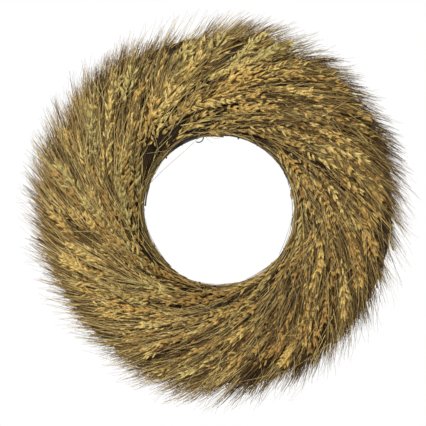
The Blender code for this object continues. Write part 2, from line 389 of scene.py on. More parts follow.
wireFinish = {
    "rust": (70, 48, 32),
    # dark and pale shade, fineness of the grain, least roughness, metal
    "frame": ("blackFrameWire", (16, 17, 19), (38, 40, 42), 160, 0.35, 0.3),
    "tie": ("thinTieWire", (40, 42, 40), (84, 84, 76), 300, 0.3, 0.8),
    "hook": ("bluedHookWire", (12, 15, 19), (34, 40, 47), 220, 0.35, 0.35),
}


def makeWireMaterial(name, dark, pale, fineness, leastRough, metal):
    material, tree, shader = startMaterial(name)
    grain = noiseNode(tree, addNode(tree, "ShaderNodeTexCoord", output="Object"), fineness, 4.0)
    stops = [(0.3, linear(*dark)), (0.62, linear(*pale)), (0.72, linear(*wireFinish["rust"]))]
    feed(tree, shader, {"Base Color": rampNode(tree, grain, stops), "Metallic": metal})
    roughen(tree, shader, grain, leastRough, 0.3, 0.2, 0.0002)
    return material


# one copy of the wheat finish per row, the inner copy darker as painted shade
wheatMaterials = {key: makeWheatMaterial("driedWheat" + key.title(), paintedShadeGain)
                  for key, paintedShadeGain in wheatFinish["paintedShadeGain"].items()}
wireMaterials = {key: makeWireMaterial(*wireFinish[key]) for key in ("frame", "tie", "hook")}
print("materials made")

huskForm = {
    "length": 0.0148,
    "halfWidth": 0.0024,
    "thickness": 0.0018,
    "bow": 0.0011,
    "clear": 0.0004,   # of the ear's own line
    "sides": 5,
    "splay": 25,       # degrees out from the ear's middle
    "fan": 17,         # degrees between the husks of one spikelet
    "outline": ((0.0, 0.34), (0.30, 1.0), (0.66, 0.86), (1.0, 0.06)),   # place along it and share of its width
    # each husk's length and its part of the fan
    "wide": ((1.0, 1), (0.96, -1), (0.80, 0)),
    "slim": ((0.94, 0.6), (1.04, -0.75)),
}


def makeSpikelet(name, husks):
    # boat-shaped husks that open out from one point, along +Z and out to +X
    form = huskForm
    sides, outline = form["sides"], form["outline"]
    splay = math.radians(form["splay"])
    points, faces, along, around = [], [], [], []
    for share, part in husks:
        first = len(points)
        fan = math.radians(form["fan"] * part)
        for place, width in outline:
            for side in range(sides):
                angle = 2 * math.pi * side / sides
                x = form["thickness"] * width * math.cos(angle) + form["bow"] * math.sin(math.pi * place)
                y = form["halfWidth"] * width * share * math.sin(angle)
                z = form["length"] * share * place
                y, z = y * math.cos(fan) + z * math.sin(fan), z * math.cos(fan) - y * math.sin(fan)
                x, z = x * math.cos(splay) + z * math.sin(splay), z * math.cos(splay) - x * math.sin(splay)
                points.append((x + form["clear"], y, z))
                along.append(place)
                around.append(side / sides)
        for ring in range(len(outline) - 1):
            for side in range(sides):
                a = first + ring * sides + side
                b = first + ring * sides + (side + 1) % sides
                faces.append((a, b, b + sides, a + sides))
        faces.append(tuple(first + i for i in reversed(range(sides))))
        last = first + (len(outline) - 1) * sides
        faces.append(tuple(last + i for i in range(sides)))
    mesh = bpy.data.meshes.new(name)
    mesh.from_pydata(points, [], faces)
    for key, values in (("huskAlong", along), ("huskAround", around)):
        mesh.attributes.new(key, "FLOAT", "POINT").data.foreach_set("value", values)
    return putObject(name, mesh)


spikeletWide = makeSpikelet("spikeletWide", huskForm["wide"])
spikeletSlim = makeSpikelet("spikeletSlim", huskForm["slim"])


class TreeBuilder:
    def __init__(self, name):
        self.tree = bpy.data.node_groups.new(name, "GeometryNodeTree")
        self.sockets = {}

    def addInput(self, name, kind, value=None):
        made = self.tree.interface.new_socket(name=name, in_out="INPUT", socket_type="NodeSocket" + kind)
        if value is not None:
            made.default_value = value
        self.sockets[name] = made.identifier

    def add(self, kind, inputs=(), output=0, **settings):
        return addNode(self.tree, kind, inputs, output, **settings)

    def join(self, parts):
        made = self.tree.nodes.new("GeometryNodeJoinGeometry")
        for part in parts:
            self.tree.links.new(part, made.inputs[0])
        return made.outputs[0]

    def maths(self, operation, *values):
        return mathNode(self.tree, operation, *values)

    def vectors(self, operation, first, second):
        slot = 3 if operation == "SCALE" else 1
        return self.add("ShaderNodeVectorMath", {0: first, slot: second}, operation=operation)

    def named(self, name, kind="FLOAT"):
        return self.add("GeometryNodeInputNamedAttribute", {0: name}, data_type=kind)

    def store(self, geometry, name, value, kind="FLOAT", domain="POINT"):
        inputs = {"Name": name, "Geometry": geometry, "Value": value}
        return self.add("GeometryNodeStoreNamedAttribute", inputs, data_type=kind, domain=domain)

    def pick(self, geometry, kind):
        inputs = {0: self.named("kind"), 1: kind, "Epsilon": 0.1}
        near = self.add("FunctionNodeCompare", inputs, data_type="FLOAT", operation="EQUAL")
        return self.add("GeometryNodeSeparateGeometry", {0: geometry, 1: near}, domain="POINT")

    def random(self, low, high, seed, whole=False):
        kind, lowSlot, highSlot, output = ("INT", 4, 5, 2) if whole else ("FLOAT", 2, 3, 1)
        inputs = {lowSlot: low, highSlot: high, "Seed": seed}
        return self.add("FunctionNodeRandomValue", inputs, output, data_type=kind)

    def mapOut(self, geometry, along, band, around, width):
        low, high = bands[band]
        height = self.maths("MULTIPLY_ADD", self.named("tone"), high - low - width, low)
        height = self.maths("MULTIPLY_ADD", around, width, height)
        place = self.add("ShaderNodeCombineXYZ", {0: along, 1: height})
        return self.store(geometry, "OFBake", place, "FLOAT2", "CORNER")


bunchForm = {
    # these five are the tree's own inputs
    "Spikelets per ear": 20,
    "Spikelet size": 1.0,
    "Beard sides": 3,
    "Stem sides": 5,
    "Ruffle": 0.40,
}
spikeletForm = {
    "toneJitter": 0.07,
    "swell": (2.2, 0.55, 0.42, 0.60),   # smaller at the foot and the tip of the ear
    "size": (0.86, 1.14),
    "mapWidth": 0.010,
}
# each swept kind: its band of the map, its part of that band and how flat it is
sweptForm = {awnKind: ("awn", 0.004, 1.0), stemKind: ("stem", 0.008, 1.0), leafKind: ("stem", 0.012, 0.10)}
bladeSides = 6


def makeBunchTree():
    b = TreeBuilder("wheatBunch")
    b.addInput("Guides", "Geometry")
    for name, value in bunchForm.items():
        b.addInput(name, "Int" if isinstance(value, int) else "Float", value)
    b.addInput("Seed", "Int", 0)
    for name, kind in (("Wide spikelet", "Object"), ("Slim spikelet", "Object"), ("Finish", "Material")):
        b.addInput(name, kind)
    b.tree.interface.new_socket(name="Bunch", in_out="OUTPUT", socket_type="NodeSocketGeometry")
    source = b.tree.nodes.new("NodeGroupInput").outputs
    guides = source["Guides"]

    def seeded(shift):
        return b.maths("ADD", source["Seed"], float(shift))

    def swept(kind, sides):
        band, width, flat = sweptForm[kind]
        curve = b.add("GeometryNodeMeshToCurve", {0: b.pick(guides, kind)})
        line = b.store(curve, "along", b.add("GeometryNodeSplineParameter"))
        ring = b.add("GeometryNodeCurvePrimitiveCircle", {"Resolution": sides, "Radius": 1.0}, mode="RADIUS")
        shape = b.add("GeometryNodeTransform", {"Geometry": ring, "Scale": (1.0, flat, 1.0)})
        outline = b.store(shape, "around", b.add("GeometryNodeSplineParameter"))
        tube = {"Curve": line, "Profile Curve": outline, "Scale": b.named("thick")}
        return b.mapOut(b.add("GeometryNodeCurveToMesh", tube), b.named("along"), band, b.named("around"), width)

    # ears: spikelets set on alternate sides of the ear's own line
    curve = b.add("GeometryNodeMeshToCurve", {0: b.pick(guides, earKind)})
    spots = b.add("GeometryNodeResampleCurve", {"Curve": curve, "Count": source["Spikelets per ear"]}, mode="COUNT")
    spots = b.store(spots, "place", b.add("GeometryNodeSplineParameter"))
    jitter = b.random(-spikeletForm["toneJitter"], spikeletForm["toneJitter"], source["Seed"])
    spots = b.store(spots, "tone", b.maths("ADD", b.named("tone"), jitter))
    tangent = b.add("GeometryNodeInputTangent")
    across = b.vectors("CROSS_PRODUCT", tangent, b.named("lift", "FLOAT_VECTOR"))
    rolled = b.add("ShaderNodeVectorRotate", {"Vector": across, "Axis": tangent, "Angle": b.named("roll")},
                   rotation_type="AXIS_ANGLE")
    side = b.maths("MODULO", b.add("GeometryNodeInputIndex"), 2.0)
    outward = b.vectors("SCALE", rolled, b.maths("MULTIPLY_ADD", side, 2.0, -1.0))
    upright = b.add("FunctionNodeAlignRotationToVector", {"Vector": tangent}, axis="Z")
    facing = b.add("FunctionNodeAlignRotationToVector", {"Rotation": upright, "Vector": outward},
                   axis="X", pivot_axis="Z")
    turns = [b.maths("MULTIPLY", b.random(-1.0, 1.0, seeded(shift)), source["Ruffle"]) for shift in (11, 12, 13)]
    ruffle = b.add("FunctionNodeEulerToRotation", {0: b.add("ShaderNodeCombineXYZ", enumerate(turns))})
    facing = b.add("FunctionNodeRotateRotation", {"Rotation": facing, "Rotate By": ruffle}, rotation_space="LOCAL")
    speed, start, rise, least = spikeletForm["swell"]
    swell = b.maths("SINE", b.maths("MULTIPLY_ADD", b.named("place"), speed, start))
    swell = b.maths("MULTIPLY_ADD", swell, rise, least)
    size = b.maths("MULTIPLY", b.maths("MULTIPLY", swell, b.named("size")), source["Spikelet size"])
    size = b.maths("MULTIPLY", size, b.random(*spikeletForm["size"], seeded(21)))
    choices = b.join([b.add("GeometryNodeObjectInfo", {"Object": source[key], "As Instance": True}, "Geometry")
                      for key in ("Wide spikelet", "Slim spikelet")])
    dressed = b.add("GeometryNodeInstanceOnPoints", {
        "Points": spots, "Instance": choices, "Pick Instance": True, "Rotation": facing, "Scale": size,
        "Instance Index": b.random(0, 1, seeded(31), whole=True)})
    solid = b.add("GeometryNodeRealizeInstances", {0: dressed})
    ears = b.mapOut(solid, b.named("huskAlong"), "husk", b.named("huskAround"), spikeletForm["mapWidth"])

    # beards, stems and blades are swept along their guides, and the bed passes through with its own map
    bed = b.store(b.pick(guides, bedKind), "OFBake", b.named("bedMap", "FLOAT_VECTOR"), "FLOAT2", "CORNER")
    whole = b.join([swept(awnKind, source["Beard sides"]), swept(stemKind, source["Stem sides"]),
                    swept(leafKind, bladeSides), ears, bed])
    smooth = b.add("GeometryNodeSetShadeSmooth", {"Geometry": whole})
    real = b.add("GeometryNodeRealizeInstances", {0: smooth})
    finish = b.add("GeometryNodeSetMaterial", {"Geometry": real, "Material": source["Finish"]})
    b.add("NodeGroupOutput", {0: finish})
    return b


bunchTree = makeBunchTree()
# what the tree reads or notes on the way, and the finished mesh doesn't need
spentNotes = ("kind", "thick", "tone", "roll", "size", "lift", "bedMap",
              "along", "around", "place", "huskAlong", "huskAround")


def dressBunch(name, mesh, rowName, seed):
    # runs the tree once on the guides and keeps the plain mesh
    guide = putObject(name + "_guides", mesh)
    modifier = guide.modifiers.new("bunch", "NODES")
    modifier.node_group = bunchTree.tree
    given = {"Seed": seed, "Wide spikelet": spikeletWide, "Slim spikelet": spikeletSlim,
             "Finish": wheatMaterials[rowName]}
    for key, value in given.items():
        modifier[bunchTree.sockets[key]] = value
    graph = bpy.context.evaluated_depsgraph_get()
    graph.update()
    plain = bpy.data.meshes.new_from_object(guide.evaluated_get(graph),
                                            preserve_all_data_layers=True, depsgraph=graph)
    guide.modifiers.remove(modifier)
    bpy.data.objects.remove(guide)
    plain.name = name
    for key in [a.name for a in plain.attributes if a.name in spentNotes]:
        plain.attributes.remove(plain.attributes[key])
    return putObject(name, plain)


rows = {
    # layers: share of the ears, and how far from the front skin (0) to the back (1) they lie
    "inner": {
        "ears": 8, "tuftsPerEar": 12, "underBeards": 60, "toneShift": 0.02,
        "layers": ((0.62, 0.0, 0.12), (0.20, 0.35, 0.75), (0.18, 0.8, 1.0)),
        "foot": (0.1135, 0.140), "underFoot": (0.109, 0.150), "strayFoot": (0.114, 0.150),
        "looseFoot": (0.118, 0.152), "backFoot": (0.1135, 0.150), "bed": (0.1105, 0.152),
    },
    "front": {
        "ears": 12, "tuftsPerEar": 15, "underBeards": 85, "toneShift": 0.0,
        "layers": ((1.0, 0.0, 0.15),),
        "foot": (0.138, 0.188), "underFoot": (0.145, 0.208), "strayFoot": (0.145, 0.215),
        "looseFoot": (0.146, 0.212), "backFoot": (0.146, 0.186), "bed": (0.148, 0.206),
    },
    "outer": {
        "ears": 19, "tuftsPerEar": 15, "underBeards": 95, "toneShift": 0.0,
        "layers": ((0.47, 0.0, 0.25), (0.27, 0.3, 0.7), (0.26, 0.75, 1.0)),
        "foot": (0.176, 0.214), "underFoot": (0.195, 0.245), "strayFoot": (0.205, 0.250),
        "backFoot": (0.182, 0.236), "bed": (0.184, 0.246),
    },
}

# in the forms below, ends is the root and the tip of a strand, times a figure drawn for it from vary;
# turn (middle and spread) and curl are degrees that strands stray from the lie of the wheat and bend by;
# steps is how many points they have and how fast they turn into the lie
earForm = {
    "steps": (9, 0.16), "length": (0.070, 0.086), "size": (0.92, 1.18), "turn": (0, 7), "curl": 6, "roll": 42,
    "sinkFoot": (0.0115, 0.0015), "sinkTip": (0.0042, 0.0013),   # middle and spread
    "looser": (10, 0.003, 0.0015),   # more turn and sink where the wheat is loose
    "reach": 0.238, "clearOfHole": 0.0100,
    "rimLonger": 4,                  # how much the rim's swing lengthens the outer ears, per metre
    "tone": (0.9, 0.03, 0.58, 0.08, 0.92),   # spread, least, where it is loose, and its two limits
}
beardForm = {
    "perTuft": 3, "steps": (6, 0.26), "ends": (0.00054, 0.00015), "vary": (0.75, 1.3), "length": (0.055, 0.095),
    "spread": 15, "gather": 1.5, "curl": 9,
    "root": (0.0095, 0.0055, 0.0050),   # ahead, beside and above the ear's line, at the husks' tips
    "rise": (0.0004, 0.0026), "sinkEnd": (-0.0045, 0.0080), "reach": 0.289,
    "shorter": 0.3,        # the share that the beards at the ear's tip lose
    "earCut": 0.022,       # how much shorter some ears' beards are, and some tufts'
    "tuftCut": 0.008,
    "cutSwing": 28,        # the rim's swing makes that more or less
    "tone": (0.03, 0.72, 0.20), "looseLoss": 0.50,
    # and from beard to beard in one tuft
    "jitter": {"up": 0.03, "turn": 0.25, "fan": 0.09, "curl": 0.13, "sink": 0.0014,
               "length": 0.005, "cut": 0.004, "tone": 0.30},
}
underForm = {
    "ends": (0.00042, 0.00014), "vary": (0.8, 1.25), "length": (0.05, 0.09), "turn": (0, 10), "curl": 10,
    "sinkStart": (0.005, 0.012), "sinkEnd": (0.002, 0.011), "reach": 0.258, "cut": 0.008,
    # tone stays near the beards' darkest shades: painted shade for the strands that lie under the others
    "steps": (6, 0.2), "tone": (0.08, 0.13), "looseLoss": 0.6,
}
stemForm = {
    "ends": (0.0010, 0.0013), "vary": (0.85, 1.2), "length": (0.06, 0.11), "tone": (0.05, 0.95),
    "steps": (7, 0.3), "sink": (0.0005, 0.010),   # below the ear's foot, at the ear and at the cut end
}
strawForm = {
    "thick": 0.0009, "steps": (6, 0.2), "length": (0.04, 0.09), "turn": (0, 10), "curl": 8,
    "sinkStart": (0.003, 0.009), "sinkEnd": (0.002, 0.008), "reach": 0.252,
}
strayForm = {
    "perBunch": 9, "ends": (1, 0.4), "vary": (0.00032, 0.00050), "length": (0.045, 0.095),
    "steps": (6, 0.10), "turn": (0, 24), "curl": 20, "layer": (0, 0.08), "sinkStart": (-0.003, 0.002),
    "sinkEnd": (-0.007, -0.001), "reach": 0.285, "tone": (0.45, 0.85),
}
wispForm = {
    "perBunch": 44, "ends": (1, 0.3), "vary": (0.00024, 0.00038), "foot": (0.225, 0.250), "length": (0.060, 0.100),
    "steps": (7, 0.08), "turn": (2, 13), "curl": 45, "layer": (0, 0.9), "sink": (-0.004, 0.006),
    "reach": 0.299, "cut": 0.008, "tone": (0.2, 0.7),
}
looseForm = {
    "tries": 13, "ends": (1, 1), "vary": (0.0004, 0.0008), "length": (0.030, 0.075), "turn": (6, 17), "curl": 12,
    "steps": (6, 0.12), "sinkStart": (0.002, 0.007), "sinkEnd": (-0.001, 0.006), "clearOfHole": 0.004,
    "bladeShare": 0.35, "bladeWidth": 2.4, "bladeOutline": (0.4, 1, 0.8, 0.1),
}
backForm = {
    "perBunch": 34, "ends": (1, 1), "vary": (0.0007, 0.0012), "length": (0.060, 0.110), "turn": (-9, 6), "curl": 5,
    "steps": (7, 0.45), "sink": (-0.0004, 0.0035), "reach": 0.255, "tone": (0, 1),
}
holeEdge = {
    "strands": 92, "steps": (7, 0.62), "ends": (1, 0.35), "vary": (0.0004, 0.0008), "inset": (0.0006, 0.0060),
    "length": (0.030, 0.055), "turn": (-2, 2.5), "curl": 4, "layer": (0.15, 0.95), "tone": (0.05, 0.95),
    "bareDegrees": ((320, 339), (356, 360), (0, 12)),   # where the first ring shows
}
# single strands that stand clear: bunch, kind, tone, and thicknesses and points in millimetres
oddStrands = (
    (9, awnKind, 0.32, (0.34, 0.26, 0.16),
     ((-104, 12, 34), (-92, 12, 48), (-76, 11, 63), (-58, 12, 78), (-36, 14, 97), (-28, 16, 106))),
    (3, awnKind, 0.30, (0.36, 0.30, 0.18), ((86, 8, -63), (91, 6, -52), (97, 5, -38), (101, 5, -22), (107, 6, -2))),
    (11, stemKind, 0.62, (0.75, 0.85, 0.75), ((-30, -14, 146), (-28.5, -12, 128), (-28.4, -2, 106))),
    (11, awnKind, 0.45, (0.26, 0.20, 0.12), ((-20, 14, 108), (-16, 12, 101), (-9, 12, 97))),
    (0, awnKind, 0.45, (0.26, 0.20, 0.12), ((-14, 13, 109), (-8, 12, 103), (2, 13, 104))),
    (2, leafKind, 0.0, (0.4, 2.4, 2.2, 0.3), ((104.5, 8, 30), (103.0, 7, 24), (103.5, 7, 16))),
)
patchForm = {
    "greyed": (0.22, 0.165, 0.02),    # how much, from what radius, and over how wide a fade
    "sideDarkening": (0.14, 115),           # how much darker, and the degrees where it is darkest
    # painted shade over the inner slope by the hole: how much, its swing round the wreath and that swing's degrees,
    # below what radius, and over how wide a fade
    "innerPaintedShade": (0.15, -0.06, 110, 0.160, 0.03),
    "clouds": 0.10,
}
bedForm = {
    "steps": 9, "across": (7, 5),   # points along the front and along the back
    "under": (0.0115, 0.004),       # below the front skin and the back
    "rimUnder": 0.016, "rimShort": 0.010, "uneven": 0.0012,
    "lean": 20,                     # degrees that the front runs ahead of the back
}


def turned(rng, middle, spread, total):
    return np.radians(rng.normal(middle, spread, total))


def sown(rng, start, ahead, foot, total, low=0, high=1):
    # places over one bunch's sector, some degrees ahead of its start
    angle = start + rng.uniform(low, high, total) * sector + math.radians(ahead)
    return polarPlace(angle, rng.uniform(*foot, total))


def aimed(rng, form, total):
    # what growStrands needs after the places: offset, length, how many points and how fast they turn
    return turned(rng, *form["turn"], total), rng.uniform(*form["length"], total), *form["steps"]


def tapered(rng, form, total, count):
    return np.linspace(*form["ends"], count)[None, :] * rng.uniform(*form["vary"], (total, 1))


def bent(rng, form, layer, total):
    # the last things that growStrands needs: curl, layer, and the sink at the root and at the tip
    curl = turned(rng, 0, form["curl"], total)
    return curl, layer, rng.uniform(*form["sinkStart"], total), rng.uniform(*form["sinkEnd"], total)


def addDrawn(guides, kind, strands, form, rng):
    total, count = strands.shape[:2]
    guides.add(kind, strands, tapered(rng, form, total, count), rng.uniform(*form["tone"], total))


def surfaceLift(points, layer):
    # the way out of the wheat at each point, by the slope of the front
    radius = np.hypot(points[..., 0], points[..., 2])
    slope = np.clip((frontAt(radius + 0.001) - frontAt(radius - 0.001)) / 0.002, -1.5, 1.5)
    outX, outZ = points[..., 0] / radius, points[..., 2] / radius
    facing = 1 - 2 * layer[:, None]
    reach = slope * facing + 1 - np.abs(facing)
    lift = np.stack([outX * reach, -facing + 0 * reach, outZ * reach], -1)
    return lift / np.linalg.norm(lift, axis=-1, keepdims=True)


def pickLayers(rng, row, count):
    picks = []
    for share, low, high in row["layers"]:
        picks += [rng.uniform(low, high) for _ in range(int(round(share * count)))]
    while len(picks) < count:
        picks.append(rng.uniform(0, 0.1))
    return rng.permutation(np.array(picks[:count]))


def rimLimit(place, reach):
    swing = swingAt("rimSwing", np.arctan2(place[:, 0], place[:, 1]))
    return np.minimum(reach - 0.002 + 1.1 * swing, rimRadius + wreathForm["tipReach"])


def patchTone(place):
    # broad patches of paler wheat, a side that is darker towards the right and bottom-right, painted shade over the
    # inner slope by the hole, and clouds of tone
    x, z = place[:, 0] * 1000, place[:, 1] * 1000
    turn = np.arctan2(x, z)
    radius = np.hypot(x, z) / 1000
    greyed, greyRadius, greyFade = patchForm["greyed"]
    sideDarkening, darkestTurn = patchForm["sideDarkening"]
    inner, innerSwing, innerTurn, innerRadius, innerFade = patchForm["innerPaintedShade"]
    grey = looseness(place) * smoothStep((radius - greyRadius) / greyFade) * greyed
    # darker towards the right and bottom-right, then painted shade over the inner slope by the hole, most at the
    # left
    darkeningAndShade = sideDarkening * np.cos(turn - math.radians(darkestTurn))
    inner = inner + innerSwing * np.cos(turn - math.radians(innerTurn))
    darkeningAndShade = darkeningAndShade + inner * smoothStep((innerRadius - radius) / innerFade)
    clouds = np.sin(x / 23 + 1.3) * np.cos(z / 31 - 0.4) + np.sin((x + z) / 41 + 2.0) * np.cos((x - z) / 27)
    return grey - darkeningAndShade + patchForm["clouds"] * clouds


def placeEars(guides, rowName, start, rng):
    row, form = rows[rowName], earForm
    count = row["ears"]
    angle = start + (np.arange(count) + rng.uniform(0.15, 0.85, count)) / count * sector
    low, high = row["foot"]
    radius = low + (high - low) * ((np.arange(count) * 0.618 + rng.uniform()) % 1)
    layer = pickLayers(rng, row, count)
    place = polarPlace(angle, radius)
    offset, length, *steps = aimed(rng, form, count)
    sinkFoot = rng.normal(*form["sinkFoot"], count)
    sinkTip = rng.normal(*form["sinkTip"], count)
    loose = looseness(place) * (layer < 0.5)
    looseTurn, looseFoot, looseTip = form["looser"]
    offset = offset + turned(rng, 0, looseTurn, count) * loose
    sinkFoot, sinkTip = sinkFoot + looseFoot * loose, sinkTip + looseTip * loose
    if rowName == "outer":
        length = length * (1 + form["rimLonger"] * swingAt("rimSwing", angle))
    points = growWithin(rimLimit(place, form["reach"]), place, offset, length, *steps,
                        turned(rng, 0, form["curl"], count), layer, sinkFoot, sinkTip,
                        overSeam=True, clear=form["clearOfHole"])
    # no ear of the last bunch lies over the seam
    middle = points[:, 5][:, [0, 2]]
    past = pastSeam(middle, np.linalg.norm(middle, axis=1))
    keep = ~((pastSeam(place, radius) < 0) & (past > 2) & (past < seam["span"]) & (layer < 0.5))
    ears = {"points": points, "layer": layer, "offset": offset, "loose": loose,
            "sinkFoot": sinkFoot, "sinkTip": sinkTip}
    ears = {key: value[keep] for key, value in ears.items()}
    loose, count = ears["loose"], int(keep.sum())
    spread, least, looseTone, lowest, highest = form["tone"]
    tone = rng.beta(2.0, 2.0, count) * spread + least + patchTone(place[keep]) + row["toneShift"]
    ears["tone"] = np.clip(tone * (1 - 0.5 * loose) + looseTone * 0.5 * loose, lowest, highest)
    size = rng.uniform(*form["size"], count) * (1 + 0.1 * loose)
    roll = np.radians(rng.normal(0, form["roll"], count) * (1 + loose))
    lift = surfaceLift(ears["points"], ears["layer"]).reshape(-1, 3)
    guides.add(earKind, ears["points"], 0.001, ears["tone"], roll, size, lift=lift)
    return ears


def addBeards(guides, row, ears, rng):
    # beards leave the husks' tips all round every ear, a few to a tuft, and the tufts draw together
    form, points = beardForm, ears["points"]
    count = len(points)
    owner = np.repeat(np.arange(count), row["tuftsPerEar"])
    owner = owner[rng.uniform(0, 1, len(owner)) > form["looseLoss"] * ears["loose"][owner]]
    tufts, total = len(owner), len(owner) * form["perTuft"]

    def each(values, key):
        return np.repeat(values, form["perTuft"]) + rng.normal(0, form["jitter"][key], total)

    up = np.clip(each(rng.uniform(0.0, 0.90, tufts), "up"), 0, 0.93)
    turn = each(rng.uniform(-0.3, math.pi + 0.3, tufts), "turn")
    fanSize = each(np.radians(np.abs(rng.normal(0, form["spread"], tufts))), "fan")
    bend = each(turned(rng, 0, form["curl"], tufts), "curl")
    earRise = rng.normal(*form["rise"], count)
    sinkEnd = each(rng.uniform(*form["sinkEnd"], tufts) + earRise[owner], "sink")
    length = each(rng.uniform(*form["length"], tufts), "length") * (1.12 - form["shorter"] * up)
    earCut = np.abs(rng.normal(0, form["earCut"], count))
    rimCut = each(earCut[owner] + np.abs(rng.normal(0, form["tuftCut"], tufts)), "cut")
    least, share, spread = form["tone"]
    tone = each(least + ears["tone"][owner] * share + rng.normal(0, spread, tufts), "tone")
    owner = np.repeat(owner, form["perTuft"])
    spot = up * (points.shape[1] - 1)
    low = np.clip(spot.astype(int), 0, points.shape[1] - 2)
    part = (spot - low)[:, None]
    root = points[owner, low] * (1 - part) + points[owner, low + 1] * part
    ahead = (points[owner, low + 1] - points[owner, low])[:, [0, 2]]
    ahead = ahead / np.linalg.norm(ahead, axis=1, keepdims=True)
    beside = np.stack([ahead[:, 1], -ahead[:, 0]], 1)
    rootAhead, rootBeside, rootAbove = form["root"]
    place = root[:, [0, 2]] + ahead * rootAhead + beside * (rootBeside * np.cos(turn))[:, None]
    lean, radius = flowAngle(place)
    outward, onward = outwardOnward(place, radius)
    facing = np.arctan2((ahead * outward).sum(1), (ahead * onward).sum(1)) - lean
    fan = -np.cos(turn) * fanSize
    sinkStart = ears["sinkFoot"][owner] * (1 - up) + ears["sinkTip"][owner] * up - rootAbove * np.sin(turn)
    swing = swingAt("rimSwing", np.arctan2(place[:, 0], place[:, 1]))
    limit = rimLimit(place, form["reach"]) - rimCut * (1 - form["cutSwing"] * swing)
    curl = -fan * form["gather"] - facing * 0.4 + bend
    beards = growWithin(limit, place, facing * 0.9 + fan, length, *form["steps"], curl,
                        ears["layer"][owner], sinkStart, sinkEnd, slack=rng.normal(2, 2.0, total))
    thick = tapered(rng, form, total, form["steps"][0])
    guides.add(awnKind, beards, thick, np.clip(tone, 0.01, 0.99))


def addUnderBeards(guides, row, start, rng):
    # loose beards from the ears further in fill what lies between
    form, total = underForm, row["underBeards"]
    place = sown(rng, start, 10, row["underFoot"], total)
    layer = pickLayers(rng, row, total)
    keep = rng.uniform(0, 1, total) > form["looseLoss"] * looseness(place)
    place, layer, total = place[keep], layer[keep], int(keep.sum())
    limit = rimLimit(place, form["reach"]) - np.abs(rng.normal(0, form["cut"], total))
    strands = growWithin(limit, place, *aimed(rng, form, total), *bent(rng, form, layer, total))
    thick = tapered(rng, form, total, form["steps"][0])
    # their dark tones are painted shade for beards that lie under the others
    guides.add(awnKind, strands, thick, np.clip(rng.normal(*form["tone"], total), 0.01, 0.99))


def wrapHoleEdge(guides, start, rng):
    # straws and beards drawn along the hole's edge, over the first ring
    form = holeEdge
    angle = start + rng.uniform(0, 1, form["strands"]) * sector
    degrees = np.degrees(angle) % 360
    bare = [(degrees > low) & (degrees < high) for low, high in form["bareDegrees"]]
    angle = angle[~np.any(bare, 0)]
    total = len(angle)
    radius = holeRadius + rng.uniform(*form["inset"], total) + swingAt("holeSwing", angle)
    aim, layer, flat = aimed(rng, form, total), rng.uniform(*form["layer"], total), np.zeros(total)
    curl = turned(rng, 0, form["curl"], total)
    strands = growStrands(polarPlace(angle, radius), *aim, curl, layer, flat, flat)
    addDrawn(guides, awnKind, strands, form, rng)


def addOddStrands(guides, index):
    # the few strands that stand clear of the hole's edge, and one loose grain
    share = np.linspace(0, 1, 9)
    for bunch, kind, tone, thick, path in oddStrands:
        if bunch != index:
            continue
        knots = np.linspace(0, 1, len(path))
        points = np.stack([np.interp(share, knots, axis) for axis in np.array(path).T / 1000], 1)
        for _ in range(3):
            points[1:-1] = (points[:-2] + points[1:-1] + points[2:]) / 3
        thick = np.interp(share, np.linspace(0, 1, len(thick)), thick) / 1000
        guides.add(kind, points[None], thick[None], tone)


def addStems(guides, row, ears, start, rng):
    # stems run back from each ear into the binding
    form, count = stemForm, len(ears["points"])
    length = rng.uniform(*form["length"], count)
    place = ears["points"][:, 0][:, [0, 2]]
    nearEar, atEnd = form["sink"]
    stems = growStrands(place, ears["offset"] * 0.6, length, *form["steps"], np.zeros(count), ears["layer"],
                        ears["sinkFoot"] + nearEar, ears["sinkFoot"] + atEnd, backward=True)
    addDrawn(guides, stemKind, stems, form, rng)

    # and bare straws lie between the ears
    form, extra = strawForm, count // 2
    low, high = row["underFoot"]
    place = sown(rng, start, 0, (low + 0.003, high), extra, -0.1, 0.9)
    aim, curl = aimed(rng, form, extra), turned(rng, 0, form["curl"], extra)
    straws = growWithin(form["reach"], place, *aim, curl, pickLayers(rng, row, extra),
                        rng.uniform(*form["sinkStart"], extra), rng.uniform(*form["sinkEnd"], extra))
    guides.add(stemKind, straws, form["thick"], rng.uniform(0.0, 1.0, extra))


def addStrays(guides, row, start, rng):
    # single pale beards that lie across the others
    form, total = strayForm, strayForm["perBunch"]
    place = sown(rng, start, 14, row["strayFoot"], total)
    layer = rng.uniform(*form["layer"], total)
    limit = rimLimit(place, form["reach"])
    strands = growWithin(limit, place, *aimed(rng, form, total), *bent(rng, form, layer, total))
    addDrawn(guides, awnKind, strands, form, rng)


def addWisps(guides, start, rng):
    # the longest single beards, which stand past the rim
    form, total = wispForm, wispForm["perBunch"]
    place = sown(rng, start, 12, form["foot"], total)
    layer = rng.uniform(*form["layer"], total)
    offset = turned(rng, *form["turn"], total)
    limit = rimLimit(place, form["reach"]) - np.abs(rng.normal(0, form["cut"], total))
    sink = rng.uniform(*form["sink"], total)
    strands = growWithin(limit, place, offset, rng.uniform(*form["length"], total), *form["steps"],
                         turned(rng, 0, form["curl"], total), layer, sink, sink)
    addDrawn(guides, awnKind, strands, form, rng)


